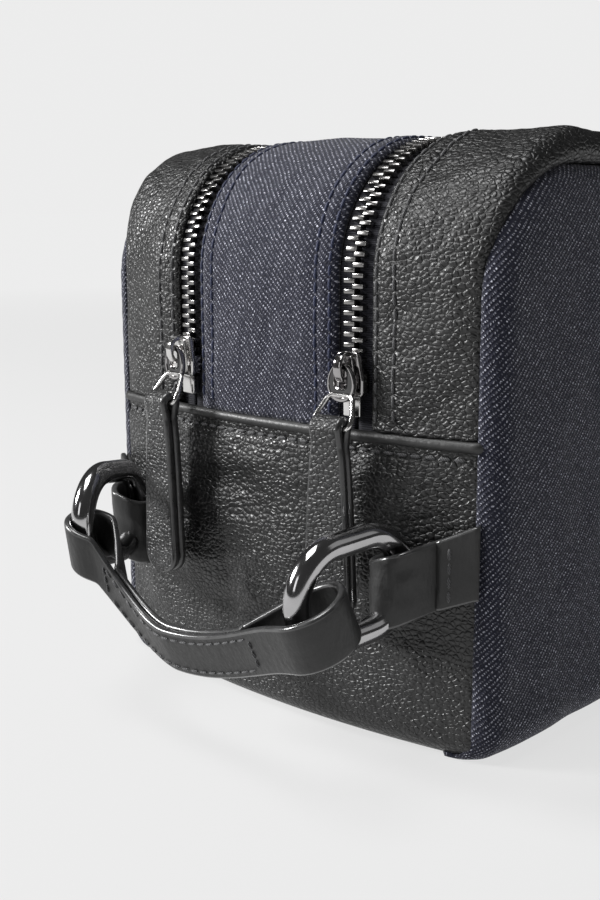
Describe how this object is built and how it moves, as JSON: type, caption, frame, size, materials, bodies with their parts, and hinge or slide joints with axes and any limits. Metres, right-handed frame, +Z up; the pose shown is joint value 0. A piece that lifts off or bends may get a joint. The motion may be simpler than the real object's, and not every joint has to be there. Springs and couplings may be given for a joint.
{
  "type": "shaving kit bag",
  "caption": "Boxy shaving kit bag in denim and black leather, zips along the top and a carry handle on oval rings at one end.",
  "frame": {"origin": "centre of the base, on the surface the bag stands on", "axes": "+Z up; the bag is longest along Y and the handle end faces -Y; +X to the right when facing +Y"},
  "size_m": [0.122, 0.3048, 0.1345],
  "materials": {
    "denim": "dark indigo twill with pale flecks, soft and matt",
    "black_leather": "black pebbled leather with a soft sheen",
    "zip_tape": "dark woven zip tape",
    "bright_metal": "polished nickel",
    "gunmetal": "polished gunmetal",
    "lining_cloth": "plain black lining cloth",
    "padding_felt": "grey needled felt",
    "board": "black fibre board"
  },
  "bodies": {
    "bag": {"base_board": "board", "base_panel": "denim", "end_padding_back": "padding_felt", "end_padding_front": "padding_felt", "end_panel_back": "black_leather", "end_panel_front": "black_leather", "lining_left": "lining_cloth", "lining_right": "lining_cloth", "lining_top_centre": "lining_cloth", "ring_tab_left": "black_leather", "ring_tab_right": "black_leather", "side_padding_left": "padding_felt", "side_padding_right": "padding_felt", "side_panel_left": "denim", "side_panel_right": "denim", "top_centre_strip": "denim", "top_padding": "padding_felt", "top_strip_left": "black_leather", "top_strip_right": "black_leather", "zip_stop_left_back": "bright_metal", "zip_stop_left_front": "bright_metal", "zip_stop_right_back": "bright_metal", "zip_stop_right_front": "bright_metal", "zip_tape_left_inner": "zip_tape", "zip_tape_left_outer": "zip_tape", "zip_tape_right_inner": "zip_tape", "zip_tape_right_outer": "zip_tape", "zip_teeth_left_inner": "bright_metal", "zip_teeth_left_outer": "bright_metal", "zip_teeth_right_inner": "bright_metal", "zip_teeth_right_outer": "bright_metal"},
    "slider_right": {"slider_right": "gunmetal", "slider_right_inner_plate": "gunmetal"},
    "link_right": {"pull_link_right": "gunmetal"},
    "wire_right": {"pull_wire_right": "bright_metal"},
    "pull_right": {"leather_pull_right": "black_leather"},
    "ring_right": {"ring_right": "gunmetal"},
    "slider_left": {"slider_left": "gunmetal", "slider_left_inner_plate": "gunmetal"},
    "link_left": {"pull_link_left": "gunmetal"},
    "wire_left": {"pull_wire_left": "bright_metal"},
    "pull_left": {"leather_pull_left": "black_leather"},
    "ring_left": {"ring_left": "gunmetal"},
    "handle": {"handle_strap": "black_leather", "handle_backing": "black_leather"}
  },
  "joints": [
    {"name": "slider_right_slide", "type": "slide", "parent": "bag", "child": "slider_right", "axis": [0, 0, 1], "range_m": [0, 0.013]},
    {"name": "link_right_swing", "type": "hinge", "parent": "slider_right", "child": "link_right", "pos_m": [0.02681, -0.13613, 0.0857], "axis": [-0.9948, -0.1017, 0], "range_deg": [0, 110]},
    {"name": "wire_right_swing", "type": "hinge", "parent": "link_right", "child": "wire_right", "pos_m": [0.02684, -0.13643, 0.0792], "axis": [-0.9948, -0.1017, 0], "range_deg": [0, 45]},
    {"name": "pull_right_swing", "type": "hinge", "parent": "wire_right", "child": "pull_right", "pos_m": [0.02724, -0.14041, 0.0727], "axis": [-0.9948, -0.1017, 0], "range_deg": [0, 20]},
    {"name": "slider_left_slide", "type": "slide", "parent": "bag", "child": "slider_left", "axis": [0, 0, 1], "range_m": [0, 0.013]},
    {"name": "link_left_swing", "type": "hinge", "parent": "slider_left", "child": "link_left", "pos_m": [-0.02681, -0.13613, 0.0857], "axis": [-0.9948, 0.1017, 0], "range_deg": [0, 110]},
    {"name": "wire_left_swing", "type": "hinge", "parent": "link_left", "child": "wire_left", "pos_m": [-0.02684, -0.13643, 0.0792], "axis": [-0.9948, 0.1017, 0], "range_deg": [0, 45]},
    {"name": "pull_left_swing", "type": "hinge", "parent": "wire_left", "child": "pull_left", "pos_m": [-0.02724, -0.14041, 0.0727], "axis": [-0.9948, 0.1017, 0], "range_deg": [0, 20]},
    {"name": "ring_right_swing", "type": "hinge", "parent": "bag", "child": "ring_right", "pos_m": [0.043, -0.1457, 0.0425], "axis": [-1, 0, 0], "range_deg": [-15, 80]},
    {"name": "ring_left_swing", "type": "hinge", "parent": "bag", "child": "ring_left", "pos_m": [-0.043, -0.1457, 0.0425], "axis": [-1, 0, 0], "range_deg": [-15, 80]},
    {"name": "handle_swing", "type": "hinge", "parent": "ring_right", "child": "handle", "pos_m": [0.043, -0.15469, 0.04203], "axis": [-1, 0, 0], "range_deg": [-20, 35]}
  ],
  "couplings": [
    {"joint": "ring_left_swing", "follows": "ring_right_swing", "ratio": 1}
  ]
}
